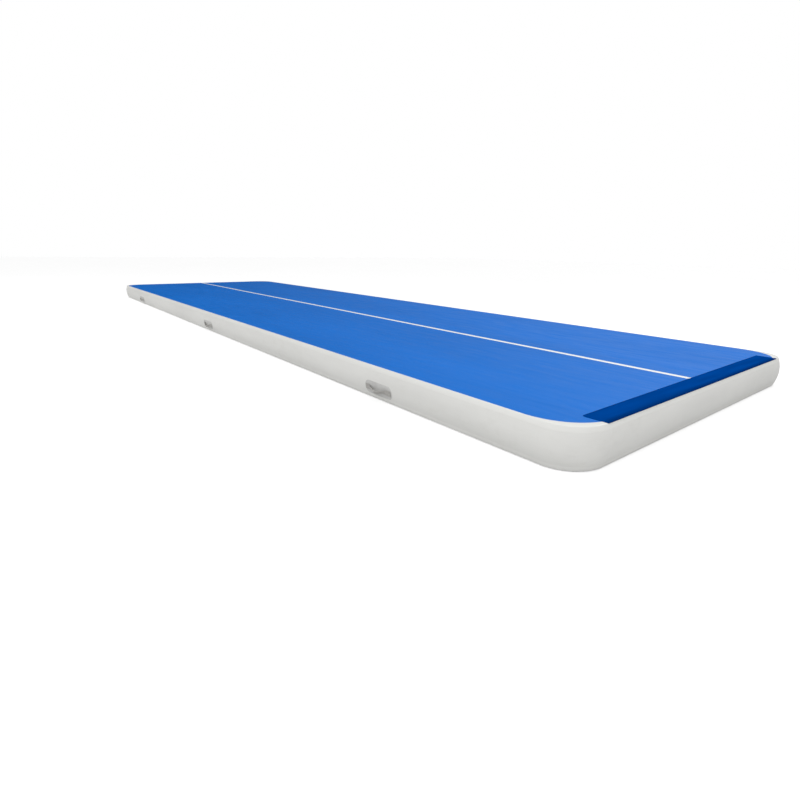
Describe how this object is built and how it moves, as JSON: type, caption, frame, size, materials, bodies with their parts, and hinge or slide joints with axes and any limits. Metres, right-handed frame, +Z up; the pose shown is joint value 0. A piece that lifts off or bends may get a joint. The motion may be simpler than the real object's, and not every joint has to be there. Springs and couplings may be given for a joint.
{
  "type": "air track mat",
  "caption": "Long inflatable tumbling mat: drop-stitch chamber, textured deck, bulging sidewall, carry handles, inflation valve and a hook-and-loop joining flap at one end.",
  "frame": {"origin": "centre of the footprint, on the floor under the mat", "axes": "+X along the mat towards the end with the joining flap, +Y across it, +Z up out of the deck"},
  "size_m": [10.0672, 2.8876, 0.225],
  "materials": {
    "deck_pvc": "embossed PVC sheet, satin, fine grain along the deck",
    "wall_pvc": "smooth coated PVC fabric, satin, faint base weave",
    "tape_pvc": "thin PVC seam tape, satin",
    "base_pvc": "coated PVC fabric with fine anti-slip embossing",
    "drop_stitch": "woven polyester base cloths with drop yarns",
    "line_white": "printed white PVC line, satin",
    "flap_fabric": "dark blue coated nylon, stitched edges",
    "hook_loop": "hook-and-loop tape pile, matt",
    "patch_pvc": "grey coated PVC patch, satin",
    "webbing": "ribbed polyester webbing, sewn",
    "valve_plastic": "moulded nylon, fine matt",
    "seal_rubber": "matt black rubber",
    "spring_steel": "bright drawn wire"
  },
  "bodies": {
    "mat": {"drop_stitch_core": "drop_stitch", "deck_sheet": "deck_pvc", "base_sheet": "base_pvc", "inner_sidewall": "wall_pvc", "sidewall_left": "wall_pvc", "sidewall_right": "wall_pvc", "sidewall_near_end": "wall_pvc", "sidewall_far_end": "wall_pvc", "valve_panel": "wall_pvc", "corner_wrap_near_left": "wall_pvc", "corner_wrap_near_right": "wall_pvc", "corner_wrap_far_left": "wall_pvc", "corner_wrap_far_right": "wall_pvc", "top_seam_tape": "tape_pvc", "bottom_seam_tape": "tape_pvc", "centre_line": "line_white", "deck_loop_tape": "hook_loop", "flap_hem": "flap_fabric", "handle_left_1_patch": "patch_pvc", "handle_left_1_sewn_end_a": "webbing", "handle_left_1_sewn_end_b": "webbing", "handle_left_2_patch": "patch_pvc", "handle_left_2_sewn_end_a": "webbing", "handle_left_2_sewn_end_b": "webbing", "handle_left_3_patch": "patch_pvc", "handle_left_3_sewn_end_a": "webbing", "handle_left_3_sewn_end_b": "webbing", "handle_right_1_patch": "patch_pvc", "handle_right_1_sewn_end_a": "webbing", "handle_right_1_sewn_end_b": "webbing", "handle_right_2_patch": "patch_pvc", "handle_right_2_sewn_end_a": "webbing", "handle_right_2_sewn_end_b": "webbing", "handle_right_3_patch": "patch_pvc", "handle_right_3_sewn_end_a": "webbing", "handle_right_3_sewn_end_b": "webbing", "valve_patch": "patch_pvc", "valve_gasket": "seal_rubber", "valve_body": "valve_plastic", "valve_nut": "valve_plastic", "valve_spring": "spring_steel"},
    "joining_flap_body": {"joining_flap": "flap_fabric", "flap_hook_tape": "hook_loop"},
    "stem": {"valve_stem": "valve_plastic", "valve_seal": "seal_rubber"},
    "tether": {"tether_ring": "valve_plastic"},
    "cap": {"valve_cap": "valve_plastic", "cap_seal": "seal_rubber", "cap_tether": "valve_plastic"},
    "grip_left_1": {"handle_left_1_grip": "webbing"},
    "grip_left_2": {"handle_left_2_grip": "webbing"},
    "grip_left_3": {"handle_left_3_grip": "webbing"},
    "grip_right_1": {"handle_right_1_grip": "webbing"},
    "grip_right_2": {"handle_right_2_grip": "webbing"},
    "grip_right_3": {"handle_right_3_grip": "webbing"}
  },
  "joints": [
    {"name": "flap_fold", "type": "hinge", "parent": "mat", "child": "joining_flap_body", "pos_m": [4.98985, -0.008, 0.22515], "axis": [0, 1, 0], "range_deg": [0, 180]},
    {"name": "grip_swing_left_1", "type": "hinge", "parent": "mat", "child": "grip_left_1", "pos_m": [-3.5, -1.4198, 0.0765], "axis": [-1, 0, 0], "range_deg": [0, 75]},
    {"name": "grip_swing_left_2", "type": "hinge", "parent": "mat", "child": "grip_left_2", "pos_m": [0, -1.4198, 0.0765], "axis": [-1, 0, 0], "range_deg": [0, 75]},
    {"name": "grip_swing_left_3", "type": "hinge", "parent": "mat", "child": "grip_left_3", "pos_m": [3.5, -1.4198, 0.0765], "axis": [-1, 0, 0], "range_deg": [0, 75]},
    {"name": "grip_swing_right_1", "type": "hinge", "parent": "mat", "child": "grip_right_1", "pos_m": [-3.5, 1.4198, 0.0765], "axis": [1, 0, 0], "range_deg": [0, 75]},
    {"name": "grip_swing_right_2", "type": "hinge", "parent": "mat", "child": "grip_right_2", "pos_m": [0, 1.4198, 0.0765], "axis": [1, 0, 0], "range_deg": [0, 75]},
    {"name": "grip_swing_right_3", "type": "hinge", "parent": "mat", "child": "grip_right_3", "pos_m": [3.5, 1.4198, 0.0765], "axis": [1, 0, 0], "range_deg": [0, 75]},
    {"name": "stem_press", "type": "slide", "parent": "mat", "child": "stem", "axis": [1, 0, 0], "range_m": [0, 0.007], "stiffness_N_per_m": 600, "springref_m": -0.004, "deforming": ["valve_spring"]},
    {"name": "cap_turn", "type": "hinge", "parent": "mat", "child": "tether", "pos_m": [-5.025, 1.025, 0.11], "axis": [-1, 0, 0], "range_deg": [0, 90]},
    {"name": "cap_flip", "type": "hinge", "parent": "tether", "child": "cap", "pos_m": [-5.0335, 1.025, 0.1442], "axis": [0, 1, 0], "range_deg": [0, 150]}
  ]
}
